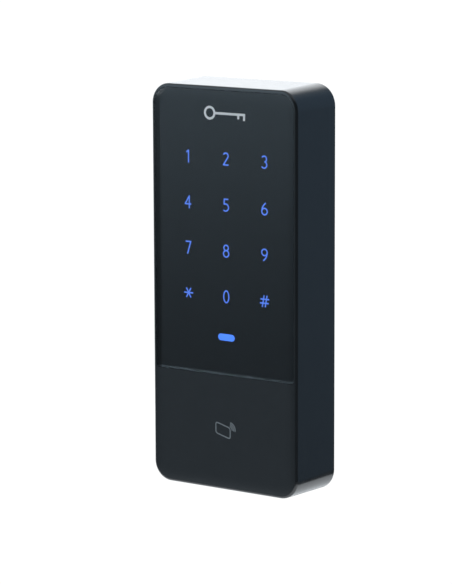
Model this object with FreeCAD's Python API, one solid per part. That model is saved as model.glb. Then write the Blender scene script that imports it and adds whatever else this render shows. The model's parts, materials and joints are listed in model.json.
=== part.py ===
"""Wall-mounted touch keypad and card reader, built as separate pieces. Millimetres.

Row frame: +X to the right as seen from the front, +Y towards the wall, +Z up.
The origin is the centre of the bracket's back face, in the plane of the wall.
Every piece is written to parts/NODE.step, one file per named node.
"""

import FreeCAD, Part
import math
import os
from FreeCAD import Vector

# Housing: a drafted shell, open at the wall side
FRONT_HALF_W = 34.4
FRONT_HALF_H = 80.3
FRONT_CORNER = 7.8
DRAFT = 0.8
FRONT_Y = -27.0
REAR_Y = -0.3
WALL = 2.2
EDGE_ROUND = 1.0
REAR_ROUND = 0.8
CROWN_WIDTH = 4.8
CROWN_DROP = 0.3

# Keypad panel: a clear sheet let into the upper part of the front, printed on its back
BEZEL = 1.5
PANEL_LOW_Z = -33.8
PANEL_LOW_CORNER = 1.4
PANEL_SINK = 0.1
PANEL_THICK = 3.0
PANEL_GAP = 0.12
PRINT_GAP = 0.03
PRINT_THICK = 0.1
TAPE_THICK = 0.2
SEAT_THICK = 1.0
SEAT_MARGIN = 0.6
SEAT_LOW_MARGIN = 2.0
TAPE_INSET = 0.4
DIFFUSER_THICK = 0.3
WINDOW_HALF_W = 28.0
WINDOW_LOW_Z = -31.4
WINDOW_HIGH_Z = 65.0
WINDOW_CORNER = 2.0
WINDOW_MARGIN = 0.6

# Key legends
KEY_PITCH = 18.2
TOP_ROW_Z = 51.9
KEY_ROWS = (("1", "2", "3"), ("4", "5", "6"), ("7", "8", "9"), ("star", "0", "hash"))
GLYPH_STROKE = 0.58
GLYPH_HALF_H = 2.34
STATUS_Z = -19.0
STATUS_LENGTH = 7.9
STATUS_HEIGHT = 2.7
BADGE_Z = 69.6
BADGE_STROKE = 0.95
BADGE_X = -0.4
BADGE_BOW_X = -7.2
BADGE_BOW_RADIUS = 2.25
BADGE_SHAFT_END = 9.6
BADGE_TEETH = ((9.1, 2.3), (6.4, 1.8))
CARD_SYMBOL_X = -0.45
CARD_SYMBOL_Z = -56.2
CARD_SYMBOL_STROKE = 0.46
CARD_SYMBOL_DEPTH = 0.12
CARD_SYMBOL_HALF_W = 3.45
CARD_SYMBOL_HALF_H = 2.2
CARD_SYMBOL_SLOPE = 0.265
CARD_SYMBOL_CORNER = 0.8
CARD_WAVE_RADII = (1.3, 2.05, 2.8)

# Boards and light path, given as the distance in front of the wall plane
BOARD_Y = -20.5
BOARD_THICK = 1.6
BOARD_HALF_W = 29.0
BOARD_HALF_H = 75.0
BOARD_CORNER = 3.0
BOARD_NOTCH = (4.0, 6.0)
STANDOFF = 0.1
LIGHT_HALF_W = 26.6
LIGHT_LOW_Z = -30.9
LIGHT_HIGH_Z = 64.5
LIGHT_CORNER = 1.5
KEY_HEADER_Z = -27.0
KEY_HEADER_LENGTH = 16.0
KEY_HEADER_HEIGHT = 3.4
PAD_LIGHT_MARGIN = 0.4
PIPE_MARGIN = 0.3
STATUS_WELL_MARGIN = 0.7
PIPE_GAP = 1.1
LED_LENGTH = 2.0
LED_WIDTH = 1.25
STATUS_LED_X = 1.9
TOUCH_BOARD_THICK = 1.0
PAD_OUTER = 7.4
PAD_INNER = 3.9
PAD_THICK = 0.05
CUP_RADIUS = 6.8
LED_HEIGHT = 0.8
ANTENNA_HALF_W = 24.8
ANTENNA_LOW_Z = -72.5
ANTENNA_HIGH_Z = -39.5
ANTENNA_FRONT_Y = -24.5
ANTENNA_THICK = 0.8
COIL_TURNS = 5
COIL_TRACE = 0.8
COIL_PITCH = 1.6
COIL_THICK = 0.1
FERRITE_THICK = 0.4
FERRITE_HALF_W = 19.0
COIL_HALF_W = 19.4
COIL_HALF_H = 14.8
ANTENNA_PIN_RADIUS = 0.95
ANTENNA_PIN_INSET = 2.5
ANTENNA_PIN_REACH = 1.5

# Rear cover, its ledge, seal and screws
COVER_INNER_Y = -11.4
COVER_THICK = 2.2
COVER_HALF_W = 32.4
COVER_HALF_H = 78.3
COVER_CORNER = 5.6
LEDGE_DEPTH = 3.0
LEDGE_HALF_W = 33.6
LEDGE_HALF_H = 79.5
LEDGE_CORNER = 7.0
LEDGE_INNER_HALF_W = 29.6
LEDGE_INNER_HALF_H = 75.5
LEDGE_INNER_CORNER = 4.0
SEAL_MID_HALF_W = 31.1
SEAL_MID_HALF_H = 77.0
SEAL_MID_CORNER = 4.2
SEAL_WIDTH = 1.4
SEAL_DEPTH = 1.0
SEAL_GAP = 0.1
COVER_SCREW_X = 28.2
COVER_SCREW_ZS = (72.0, 24.85, -35.0, -72.0)
COVER_BOSS_RADIUS = 2.6
COVER_SCREW_RADIUS = 1.2
COVER_SCREW_LENGTH = 7.0
COVER_SCREW_SHORT = 0.6
COVER_HEAD_RADIUS = 2.3
COVER_HEAD_HEIGHT = 1.3
BOARD_SCREW_X = 14.0
BOARD_SCREW_ZS = (69.5, -35.0)
BOARD_SCREW_RADIUS = 0.95
BOARD_SCREW_LENGTH = 4.2
BOARD_HEAD_RADIUS = 1.9
BOARD_HEAD_HEIGHT = 1.2
BOARD_BOSS_RADIUS = 2.2
BOARD_PILOT_DEPTH = 2.8
BOSS_ROOT = 0.3
SCREW_PASSAGE = 0.15
BOSS_PASSAGE = 0.4
SCREW_CLEARANCE = 0.02
SCREW_CROSS = 0.5

# Cable gland in the rear cover
GLAND_Z = -4.0
GLAND_BORE = 3.3
GLAND_NECK = 6.0
GLAND_FLANGE = 7.6
GLAND_FLANGE_THICK = 1.2
GLAND_BOOT_RADII = (5.6, 4.6)
GLAND_BOOT_LENGTH = 3.6

# Ribs, vent and plunger guide of the rear cover
RIB_ZS = (40.0, -30.0)
LONG_RIB_X = 10.5
CROSS_RIB_LENGTH = 44.0
RIB_WIDTH = 1.6
RIB_HEIGHT = 1.2
VENT_X = -20.0
VENT_Z = 10.0
VENT_RADIUS = 4.6
VENT_DEPTH = 0.4
VENT_HOLE = 1.5
MEMBRANE_RADIUS = 4.4
MEMBRANE_THICK = 0.3

# Wall bracket, its hooks and the bridges that hang on them
STEEL = 1.2
BRACKET_HALF_W = 29.0
BRACKET_LOW_Z = -67.4
BRACKET_HIGH_Z = 72.0
BRACKET_LOW_CORNER = 1.5
BRACKET_CORNER = 5.0
FLANGE_SHORT = 8.0
TAB_REACH = 8.4
TAB_WIDTH = 16.0
FLANGE_REACH = 6.2
HOOK_X = 18.0
HOOK_ZS = (56.0, -52.0)
HOOK_HALF_W = 4.5
HOOK_REACH = 7.2
FINGER_HEIGHT = 3.0
LIFT_TRAVEL = 4.0
HOOK_GAP = 0.05
BRIDGE_LENGTH = 15.0
BRIDGE_DEPTH = 3.5
BRIDGE_RIB = 1.5
BRIDGE_BACK_Y = -2.2
CABLE_HALF_W = 14.0
CABLE_HALF_H = 18.0
CABLE_CORNER = 4.0
HOOK_WINDOW_GAP = 0.8
SCREW_SLOT_Z = 41.75
SCREW_HOLE_Z = 30.0
WALL_SCREW_RADIUS = 2.2
WALL_SLOT_LENGTH = 8.0

# Lock screw through the bottom of the housing
LOCK_Y = -5.0
LOCK_SEAT_Z = -79.0
LOCK_BOSS_Z = -76.2
LOCK_RADIUS = 1.5
LOCK_TIP_Z = -64.6
LOCK_HEAD_RADIUS = 2.85
LOCK_HEAD_HEIGHT = 1.65
LOCK_RING_Z = -72.4
LOCK_RING_THICK = 0.6
LOCK_GROOVE_RADIUS = 1.15
NUT_CLEARANCE = 0.05
NUT_COLLAR = 2.0
NUT_RADIUS = 2.9
NUT_HEIGHT = 2.0
LOCK_BLOCK_WIDTH = 11.0
LOCK_BLOCK_LENGTH = 8.0
LOCK_BLOCK_HEIGHT = 2.8
LOCK_HOLE_GAP = 0.2
LOCK_RECESS_GAP = 0.35
LOCK_RECESS_DEPTH = 4.0
LOCK_HEAD_ROUND = 1.0
LOCK_TIP_CHAMFER = 0.4
LOCK_RING_RADIUS = 2.9
LOCK_RING_MOUTH = 1.6
LOCK_SOCKET_RADIUS = 1.15
LOCK_SOCKET_DEPTH = 1.1
LOCK_PIN_RADIUS = 0.35
LOCK_PIN_GAP = 0.3

# Tamper plunger behind the rear cover
TAMPER_X = 17.0
TAMPER_Z = 22.0
TAMPER_ROD = 2.0
TAMPER_PASSAGE_GAP = 1.2
TAMPER_FLANGE_Y = -13.45
TAMPER_FLANGE_THICK = 0.95
TAMPER_FLANGE_RADIUS = 4.6
TAMPER_CONTACT_Y = -15.2
SWITCH_TOP_Y = -15.7
SWITCH_SIZE = (6.0, 3.8)
SWITCH_WELL = 0.4
BUTTON_RADIUS = 0.94
BUTTON_LIFT = 1.35
TAMPER_GAP = 0.06
TAMPER_TIP_Y = -0.05
TAMPER_TIP_ROUND = 1.1
TAMPER_PEG = 1.2
TAMPER_GUIDE_RADIUS = 3.6
TAMPER_GUIDE_Y = -4.0
TOUCH_GAP = 0.05
SPRING_RADIUS = 4.1
SPRING_WIRE = 0.2
SPRING_TURNS = 4

# Parts on the back of the main board: places are (x, z), sizes are width, height off the board, length
CHIP_CORNER = 0.8
LEAD_HEIGHT = 0.5
LEAD_WIDTH = 0.45
SMALL_CHIP = (3.9, 1.4, 4.9)
SMALL_CHIP_PITCH = 1.27
SMALL_CHIP_LEAD = 1.0
SMALL_CHIP_X = -20.0
SMALL_CHIP_ZS = (14.0, 6.0, -2.0)
CRYSTAL = (3.2, 0.8, 2.5)
CRYSTAL_PLACES = ((1.0, 40.0), (3.0, -44.5))
POWER_X = 20.0
CAPACITOR_ZS = (2.0, -6.0)
CAPACITOR_BASE = (6.6, 1.0, 6.6)
CAPACITOR_RADIUS = 3.15
CAPACITOR_HEIGHT = 5.4
INDUCTOR_Z = -16.0
INDUCTOR_HALF = 3.2
INDUCTOR_HEIGHT = 3.0
PASSIVE = (1.25, 0.6, 2.0)
PASSIVE_PITCH = 2.6
PASSIVE_ROWS = ((-16.0, 34.5, 6), (4.0, 43.0, 4), (3.5, -57.0, 5), (-24.0, -10.0, 3))
HARNESS_ROWS = ((10.5, 6), (-17.5, 8))
HARNESS_PITCH = 2.0
HARNESS_HEIGHT = 5.2
HARNESS_WIDTH = 5.0
HARNESS_WALL = 0.6
HARNESS_FLOOR = 1.0
HARNESS_PIN = 0.5
HARNESS_PIN_HEIGHT = 4.3
BUZZER_X = -12.0
BUZZER_Z = -56.0
BUZZER_RADIUS = 6.0
BUZZER_HEIGHT = 5.0
BUZZER_HOLE = 1.0

# How far a cutting tool runs past a surface, how far an added piece runs into its neighbour, and a loose fit
OVERCUT = 1.0
MERGE = 0.1
SLIP_GAP = 0.1

X_AXIS = Vector(1, 0, 0)
Y_AXIS = Vector(0, 1, 0)
Z_AXIS = Vector(0, 0, 1)

PANEL_FRONT_Y = FRONT_Y + PANEL_SINK
PANEL_BACK_Y = PANEL_FRONT_Y + PANEL_THICK
PRINT_FRONT_Y = PANEL_BACK_Y + PRINT_GAP
PRINT_BACK_Y = PRINT_FRONT_Y + PRINT_THICK
SEAT_Y = PRINT_BACK_Y + TAPE_THICK
INNER_FRONT_Y = FRONT_Y + WALL
BOARD_BACK_Y = BOARD_Y + BOARD_THICK
TOUCH_FRONT_Y = PRINT_BACK_Y + DIFFUSER_THICK
TOUCH_BACK_Y = TOUCH_FRONT_Y + TOUCH_BOARD_THICK
COVER_OUTER_Y = COVER_INNER_Y + COVER_THICK
PANEL_HIGH_Z = FRONT_HALF_H - BEZEL
PANEL_HALF_W = FRONT_HALF_W - BEZEL
PANEL_HIGH_CORNER = FRONT_CORNER - BEZEL


# ---------------------------------------------------------------- helpers

def outline(half_w, low_z, high_z, low_corner, high_corner, y):
    """Closed wire of a rectangle with rounded corners, in the plane of that y."""
    corners = (
        (half_w - high_corner, high_z - high_corner, high_corner, 0),
        (-half_w + high_corner, high_z - high_corner, high_corner, 90),
        (-half_w + low_corner, low_z + low_corner, low_corner, 180),
        (half_w - low_corner, low_z + low_corner, low_corner, 270),
    )
    arcs = []
    for x, z, radius, start in corners:
        points = []
        for step in (0, 45, 90):
            angle = math.radians(start + step)
            points.append(Vector(x + radius * math.cos(angle), y, z + radius * math.sin(angle)))
        arcs.append(points)
    edges = []
    for index, points in enumerate(arcs):
        edges.append(Part.Arc(*points).toShape())
        following = arcs[(index + 1) % len(arcs)][0]
        edges.append(Part.makeLine(points[2], following))
    return Part.Wire(edges)


def slab(half_w, low_z, high_z, corner, y_front, y_back, low_corner=None):
    """Solid plate with rounded corners between two planes."""
    low = corner if low_corner is None else low_corner
    wire = outline(half_w, low_z, high_z, low, corner, y_front)
    return Part.Face(wire).extrude(Vector(0, y_back - y_front, 0))


def block(x, y, z, size_x, size_y, size_z):
    """Box centred on x and z, from y towards the wall."""
    return Part.makeBox(size_x, size_y, size_z, Vector(x - size_x / 2, y, z - size_z / 2))


def rod_y(x, z, radius, y_front, y_back):
    """Cylinder along Y."""
    return Part.makeCylinder(radius, y_back - y_front, Vector(x, y_front, z), Y_AXIS)


def rod_z(x, y, radius, z_low, z_high):
    """Cylinder along Z."""
    return Part.makeCylinder(radius, z_high - z_low, Vector(x, y, z_low), Z_AXIS)


def joined(shapes):
    """One clean solid from shapes that overlap or touch."""
    first = shapes[0]
    whole = first.multiFuse(shapes[1:]) if len(shapes) > 1 else first
    return whole.removeSplitter()


def without(shape, tools):
    """shape with every tool cut away."""
    return shape.cut(Part.makeCompound(tools)).removeSplitter()


def edges_on_plane(shape, y):
    """Edges of shape that lie wholly in the plane of that y."""
    found = []
    for edge in shape.Edges:
        box = edge.BoundBox
        if abs(box.YMin - y) < 1e-4 and abs(box.YMax - y) < 1e-4:
            found.append(edge)
    return found


def both_sides(x, zs):
    """The (x, z) places on the left and right at each height."""
    return [(side * x, z) for z in zs for side in (-1, 1)]


def key_places():
    """(name, x, z) of the twelve keys."""
    places = []
    for row, names in enumerate(KEY_ROWS):
        for column, name in enumerate(names):
            places.append((name, (column - 1) * KEY_PITCH, TOP_ROW_Z - row * KEY_PITCH))
    return places


# ---------------------------------------------------------------- drawn strokes

def bar(p, q, width, y, depth):
    """Straight stroke from p to q, both (x, z), with square ends."""
    length = math.hypot(q[0] - p[0], q[1] - p[1])
    stroke = Part.makeBox(length, depth, width, Vector(0, 0, -width / 2))
    stroke.rotate(Vector(0, 0, 0), Y_AXIS, -math.degrees(math.atan2(q[1] - p[1], q[0] - p[0])))
    stroke.translate(Vector(p[0], y, p[1]))
    return stroke


def dot(p, width, y, depth):
    """Round joint of a stroke."""
    return rod_y(p[0], p[1], width / 2, y, y + depth)


def arc(centre, radius, start, end, width, y, depth):
    """Curved stroke about centre, from start to end in degrees, anticlockwise from the front."""
    def at(r, degrees):
        angle = math.radians(degrees)
        return Vector(centre[0] + r * math.cos(angle), y, centre[1] + r * math.sin(angle))

    outer, inner, middle = radius + width / 2, radius - width / 2, (start + end) / 2
    wire = Part.Wire([
        Part.Arc(at(outer, start), at(outer, middle), at(outer, end)).toShape(),
        Part.makeLine(at(outer, end), at(inner, end)),
        Part.Arc(at(inner, end), at(inner, middle), at(inner, start)).toShape(),
        Part.makeLine(at(inner, start), at(outer, start)),
    ])
    return Part.Face(wire).extrude(Vector(0, depth, 0))


def ring(centre, half_x, half_z, width, y, depth):
    """Closed oval stroke."""
    def oval(grow):
        a, b = half_z + grow, half_x + grow
        if abs(a - b) < 1e-6:
            return rod_y(centre[0], centre[1], a, y, y + depth)
        middle = Vector(centre[0], y, centre[1])
        ellipse = Part.Ellipse(middle + Vector(0, 0, a), middle + Vector(b, 0, 0), middle)
        return Part.Face(Part.Wire(ellipse.toShape())).extrude(Vector(0, depth, 0))

    return oval(width / 2).cut(oval(-width / 2))


def glyph(name, y, depth):
    """Stroked legend about the origin, as one solid."""
    w, top = GLYPH_STROKE, GLYPH_HALF_H

    def line(*points):
        pieces = [bar(p, q, w, y, depth) for p, q in zip(points, points[1:])]
        return pieces + [dot(p, w, y, depth) for p in points[1:-1]]

    def bow(centre, radius, start, end):
        return [arc(centre, radius, start, end, w, y, depth)]

    def loop(centre, half_x, half_z):
        return [ring(centre, half_x, half_z, w, y, depth)]

    small, large = 1.07, 1.26
    if name == "0":
        strokes = loop((0, 0), 1.22, top)
    elif name == "1":
        strokes = line((-0.75, 1.45), (0.3, top - 0.05), (0.3, -top - w / 2))
    elif name == "2":
        end = (1.12 * math.cos(math.radians(-35)), 1.22 + 1.12 * math.sin(math.radians(-35)))
        strokes = bow((0, 1.22), 1.12, -35, 160) + line(end, (-1.13, -top), (1.3, -top))
    elif name == "3":
        strokes = bow((-0.15, 1.2), 1.14, -84, 150) + bow((-0.15, -1.08), large, -150, 84)
    elif name == "4":
        strokes = line((0.55, -top - w / 2), (0.55, top), (-1.4, -0.85), (1.55, -0.85))
    elif name == "5":
        strokes = line((1.15, top), (-0.8, top), (-0.9, 0.2)) + bow((-0.2, -0.93), 1.41, -135, 124)
    elif name == "6":
        strokes = loop((0.02, -1.08), large, large) + bow((2.625, -1.08), 3.865, 121, 180)
    elif name == "7":
        strokes = line((-1.35, top), (1.15, top), (-0.45, -top - w / 2))
    elif name == "8":
        strokes = loop((0, 1.27), small, small) + loop((0, -1.08), large, large)
    elif name == "9":
        strokes = loop((-0.02, 1.08), large, large) + bow((-2.625, 1.08), 3.865, -59, 0)
    elif name == "star":
        strokes = []
        for turn in (0, 60, 120):
            x, z = 2.2 * math.cos(math.radians(turn)), 2.2 * math.sin(math.radians(turn))
            strokes += line((-x, -z), (x, z))
    else:
        strokes = line((-0.2, 2.35), (-1.1, -2.35)) + line((1.2, 2.35), (0.3, -2.35))
        strokes += line((-1.95, 0.8), (2.2, 0.8)) + line((-2.2, -0.8), (1.95, -0.8))
    return joined(strokes)


def key_legends():
    """The twelve key legends, each filling its gap in the black print."""
    legends = []
    for name, x, z in key_places():
        legend = glyph(name, PRINT_FRONT_Y, PRINT_THICK)
        legend.translate(Vector(x, 0, z))
        legends.append(legend)
    return legends


def pill(length, height, x, z, y_front, y_back):
    """Bar with round ends, lying along X."""
    half = height / 2
    return slab(length / 2, z - half, z + half, half - 1e-3, y_front, y_back).translated(Vector(x, 0, 0))


def badge_symbol():
    """Plain key sign near the top of the panel."""
    y, w, depth = PRINT_FRONT_Y, BADGE_STROKE, PRINT_THICK
    shaft_start = BADGE_BOW_X + BADGE_BOW_RADIUS
    strokes = [
        ring((BADGE_BOW_X, 0), BADGE_BOW_RADIUS, BADGE_BOW_RADIUS, w, y, depth),
        bar((shaft_start, 0), (BADGE_SHAFT_END, 0), w, y, depth),
    ]
    for x, length in BADGE_TEETH:
        strokes.append(bar((x, 0), (x, -length), w, y, depth))
    return [joined(strokes).translated(Vector(BADGE_X, 0, BADGE_Z))]


def card_symbol():
    """Leaning card outline with three waves, flush in the face of the reading area."""
    y, w, depth = FRONT_Y, CARD_SYMBOL_STROKE, CARD_SYMBOL_DEPTH
    half_w, half_h, corner = CARD_SYMBOL_HALF_W, CARD_SYMBOL_HALF_H, CARD_SYMBOL_CORNER

    def at(x, z):
        return (x + CARD_SYMBOL_X, z - CARD_SYMBOL_SLOPE * x)

    card = [
        bar(at(-half_w + corner, half_h), at(half_w - corner, half_h), w, y, depth),
        bar(at(-half_w + corner, -half_h), at(half_w - corner, -half_h), w, y, depth),
        bar(at(-half_w, -half_h + corner), at(-half_w, half_h - corner), w, y, depth),
        bar(at(half_w, -half_h + corner), at(half_w, half_h - corner), w, y, depth),
    ]
    for side_x in (-1, 1):
        for side_z in (-1, 1):
            p = at(side_x * half_w, side_z * (half_h - corner))
            q = at(side_x * (half_w - corner), side_z * half_h)
            cut = (1 - math.cos(math.radians(45))) * corner
            middle = at(side_x * (half_w - cut), side_z * (half_h - cut))
            card += [bar(p, middle, w, y, depth), bar(middle, q, w, y, depth)]
            card += [dot(point, w, y, depth) for point in (p, middle, q)]
    centre = at(half_w - 0.4, half_h - 0.7)
    waves = [arc(centre, radius, -12, 82, w, y, depth) for radius in CARD_WAVE_RADII]
    shapes = [joined(card)] + waves
    return [shape.translated(Vector(0, 0, CARD_SYMBOL_Z)) for shape in shapes]


# ---------------------------------------------------------------- housing and panel

def shell_outline(inset, y):
    """Outline of the drafted housing at that depth, moved inwards by inset."""
    grow = DRAFT * (y - FRONT_Y) / (REAR_Y - FRONT_Y) - inset
    half_w, half_h = FRONT_HALF_W + grow, FRONT_HALF_H + grow
    corner = FRONT_CORNER + grow
    return outline(half_w, -half_h, half_h, corner, corner, y)


def panel_slab(grow, y_front, y_back):
    """The panel's outline, made larger by grow, between two planes."""
    return slab(
        PANEL_HALF_W + grow, PANEL_LOW_Z - grow, PANEL_HIGH_Z + grow,
        PANEL_HIGH_CORNER + grow, y_front, y_back, PANEL_LOW_CORNER + grow,
    )


def window(grow, y_front, y_back):
    """The opening behind the panel, made larger by grow."""
    return slab(
        WINDOW_HALF_W + grow, WINDOW_LOW_Z - grow, WINDOW_HIGH_Z + grow,
        WINDOW_CORNER, y_front, y_back,
    )


def antenna_pins():
    """Places of the pins that hold the antenna board."""
    low, high = ANTENNA_LOW_Z + ANTENNA_PIN_INSET, ANTENNA_HIGH_Z - ANTENNA_PIN_INSET
    return both_sides(ANTENNA_HALF_W - ANTENNA_PIN_INSET, (low, high))


def crowned_block(sink):
    """Everything behind the front surface, which bends back gently near its edges."""
    sections = []
    steps = 4
    for step in range(steps + 2):
        part = step / steps
        grow = CROWN_WIDTH * (part - 1)
        half_w, half_h, corner = FRONT_HALF_W + grow, FRONT_HALF_H + grow, FRONT_CORNER + grow
        y = FRONT_Y + sink + CROWN_DROP * part ** 2
        sections.append(outline(half_w, -half_h, half_h, corner, corner, y))
    backing = Part.Face(sections[-1]).extrude(Vector(0, REAR_Y - FRONT_Y, 0))
    return Part.makeLoft(sections, True, False).fuse(backing)


def front_housing():
    outer = Part.makeLoft([shell_outline(0, FRONT_Y), shell_outline(0, REAR_Y)], True, True)
    outer = outer.makeFillet(REAR_ROUND, edges_on_plane(outer, REAR_Y))
    outer = outer.common(crowned_block(0))
    rim_y = FRONT_Y + CROWN_DROP
    rim = []
    for edge in outer.Edges:
        if abs(edge.BoundBox.YMin - rim_y) < 0.05 and abs(edge.BoundBox.YMax - rim_y) < 0.05:
            rim.append(edge)
    outer = outer.makeFillet(EDGE_ROUND, rim)
    hollow = Part.makeLoft(
        [shell_outline(WALL, INNER_FRONT_Y), shell_outline(WALL, OVERCUT)], True, True
    )
    shell = outer.cut(hollow)

    ledge_front_y = COVER_INNER_Y - LEDGE_DEPTH
    ledge = slab(LEDGE_HALF_W, -LEDGE_HALF_H, LEDGE_HALF_H, LEDGE_CORNER, ledge_front_y, COVER_INNER_Y)
    ledge = ledge.cut(slab(
        LEDGE_INNER_HALF_W, -LEDGE_INNER_HALF_H, LEDGE_INNER_HALF_H, LEDGE_INNER_CORNER,
        ledge_front_y, COVER_INNER_Y,
    ))
    seat = slab(
        PANEL_HALF_W + SEAT_MARGIN, PANEL_LOW_Z - SEAT_LOW_MARGIN, PANEL_HIGH_Z + SEAT_MARGIN,
        PANEL_HIGH_CORNER + SEAT_MARGIN, INNER_FRONT_Y - MERGE, SEAT_Y + SEAT_THICK, WINDOW_CORNER,
    )
    lock_block = block(
        0, LOCK_Y - LOCK_BLOCK_LENGTH / 2, LOCK_BOSS_Z - LOCK_BLOCK_HEIGHT / 2,
        LOCK_BLOCK_WIDTH, LOCK_BLOCK_LENGTH, LOCK_BLOCK_HEIGHT,
    )
    added = [ledge, seat, lock_block]
    for x, z in both_sides(COVER_SCREW_X, COVER_SCREW_ZS):
        added.append(rod_y(x, z, COVER_BOSS_RADIUS, INNER_FRONT_Y - BOSS_ROOT, COVER_INNER_Y))
    for x, z in both_sides(BOARD_SCREW_X, BOARD_SCREW_ZS):
        added.append(rod_y(x, z, BOARD_BOSS_RADIUS, INNER_FRONT_Y - BOSS_ROOT, BOARD_Y))
    for x, z in antenna_pins():
        tip_y = ANTENNA_FRONT_Y + ANTENNA_PIN_REACH
        added.append(rod_y(x, z, ANTENNA_PIN_RADIUS, INNER_FRONT_Y - BOSS_ROOT, tip_y))
    shell = joined([shell] + added)

    cuts = [
        panel_slab(PANEL_GAP, FRONT_Y - OVERCUT, SEAT_Y),
        window(0, SEAT_Y - OVERCUT, SEAT_Y + SEAT_THICK),
        seal_ring(SEAL_GAP, COVER_INNER_Y - SEAL_DEPTH, COVER_INNER_Y + OVERCUT),
        rod_z(0, LOCK_Y, LOCK_RADIUS + LOCK_HOLE_GAP, LOCK_SEAT_Z - OVERCUT, LOCK_BOSS_Z + OVERCUT),
        rod_z(0, LOCK_Y, LOCK_HEAD_RADIUS + LOCK_RECESS_GAP, LOCK_SEAT_Z - LOCK_RECESS_DEPTH, LOCK_SEAT_Z),
    ]
    pilot = COVER_SCREW_RADIUS + SCREW_CLEARANCE
    for x, z in both_sides(COVER_SCREW_X, COVER_SCREW_ZS):
        cuts.append(rod_y(x, z, pilot, COVER_INNER_Y - COVER_SCREW_LENGTH, COVER_INNER_Y + OVERCUT))
    for x, z in both_sides(BOARD_SCREW_X, BOARD_SCREW_ZS):
        radius = BOARD_SCREW_RADIUS + SCREW_CLEARANCE
        cuts.append(rod_y(x, z, radius, BOARD_Y - BOARD_PILOT_DEPTH, BOARD_Y + OVERCUT))
    return [without(shell, cuts + card_symbol())]


def keypad_panel():
    return [panel_slab(0, PANEL_FRONT_Y, PANEL_BACK_Y).common(crowned_block(PANEL_SINK))]


def panel_print():
    """Opaque black coat on the back of the panel, open at each legend."""
    coat = panel_slab(0, PRINT_FRONT_Y, PRINT_BACK_Y)
    return [without(coat, key_legends() + status_window() + badge_symbol())]


def panel_tape():
    return [panel_slab(-TAPE_INSET, PRINT_BACK_Y, SEAT_Y).cut(window(WINDOW_MARGIN, PRINT_BACK_Y, SEAT_Y))]


def status_window():
    return [pill(STATUS_LENGTH, STATUS_HEIGHT, 0, STATUS_Z, PRINT_FRONT_Y, PRINT_BACK_Y)]


# ---------------------------------------------------------------- light path and boards

def light_notches(y_front, y_back):
    """Room for the rear cover's bosses beside the keys."""
    places = both_sides(COVER_SCREW_X, COVER_SCREW_ZS[1:2])
    return [rod_y(x, z, COVER_BOSS_RADIUS + BOSS_PASSAGE, y_front, y_back) for x, z in places]


def legend_diffuser():
    back_y = TOUCH_FRONT_Y - PAD_THICK
    film = slab(LIGHT_HALF_W, LIGHT_LOW_Z, LIGHT_HIGH_Z, LIGHT_CORNER, PRINT_BACK_Y, back_y)
    return [without(film, light_notches(PRINT_BACK_Y, TOUCH_FRONT_Y))]


def touch_board():
    y, back = TOUCH_FRONT_Y, TOUCH_BACK_Y
    board = slab(LIGHT_HALF_W, LIGHT_LOW_Z, LIGHT_HIGH_Z, LIGHT_CORNER, y, back)
    cuts = [rod_y(x, z, PAD_INNER - PAD_LIGHT_MARGIN, y, back) for _, x, z in key_places()]
    grow = 2 * PIPE_MARGIN
    cuts.append(pill(STATUS_LENGTH + grow, STATUS_HEIGHT + grow, 0, STATUS_Z, y, back))
    return [without(board, cuts + light_notches(y, back))]


def touch_pads():
    y = TOUCH_FRONT_Y - PAD_THICK
    middle = (PAD_OUTER + PAD_INNER) / 2
    return [ring((x, z), middle, middle, PAD_OUTER - PAD_INNER, y, PAD_THICK) for _, x, z in key_places()]


def light_frame():
    y, back = TOUCH_BACK_Y, BOARD_Y
    frame = slab(LIGHT_HALF_W, LIGHT_LOW_Z, LIGHT_HIGH_Z, LIGHT_CORNER, y, back)
    cuts = [rod_y(x, z, CUP_RADIUS, y, back) for _, x, z in key_places()]
    grow = 2 * STATUS_WELL_MARGIN
    cuts.append(pill(STATUS_LENGTH + grow, STATUS_HEIGHT + grow, 0, STATUS_Z, y, back))
    cuts.append(block(0, y, KEY_HEADER_Z, KEY_HEADER_LENGTH + 1, back - y, KEY_HEADER_HEIGHT + 1))
    return [without(frame, cuts + light_notches(y, back))]


def status_light_pipe():
    length, height = STATUS_LENGTH - PIPE_MARGIN, STATUS_HEIGHT - PIPE_MARGIN
    return [pill(length, height, 0, STATUS_Z, TOUCH_FRONT_Y, BOARD_Y - PIPE_GAP)]


def key_leds():
    y = BOARD_Y - LED_HEIGHT
    places = [(x, z) for _, x, z in key_places()] + both_sides(STATUS_LED_X, (STATUS_Z,))
    return [block(x, y, z, LED_LENGTH, LED_HEIGHT, LED_WIDTH) for x, z in places]


def keypad_header():
    height = BOARD_Y - TOUCH_BACK_Y
    return [block(0, TOUCH_BACK_Y, KEY_HEADER_Z, KEY_HEADER_LENGTH, height, KEY_HEADER_HEIGHT)]


def main_board():
    board = slab(BOARD_HALF_W, -BOARD_HALF_H, BOARD_HALF_H, BOARD_CORNER, BOARD_Y, BOARD_BACK_Y)
    notch_w, notch_h = BOARD_NOTCH
    cuts = []
    for x, z in both_sides(COVER_SCREW_X, COVER_SCREW_ZS):
        cuts.append(block(x + math.copysign(notch_w / 2, x), BOARD_Y, z, notch_w, BOARD_THICK, notch_h))
        cuts.append(rod_y(x, z, COVER_BOSS_RADIUS + BOSS_PASSAGE, BOARD_Y, BOARD_BACK_Y))
    for x, z in both_sides(BOARD_SCREW_X, BOARD_SCREW_ZS):
        cuts.append(rod_y(x, z, BOARD_SCREW_RADIUS + SCREW_PASSAGE, BOARD_Y, BOARD_BACK_Y))
    return [without(board, cuts)]


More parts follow.
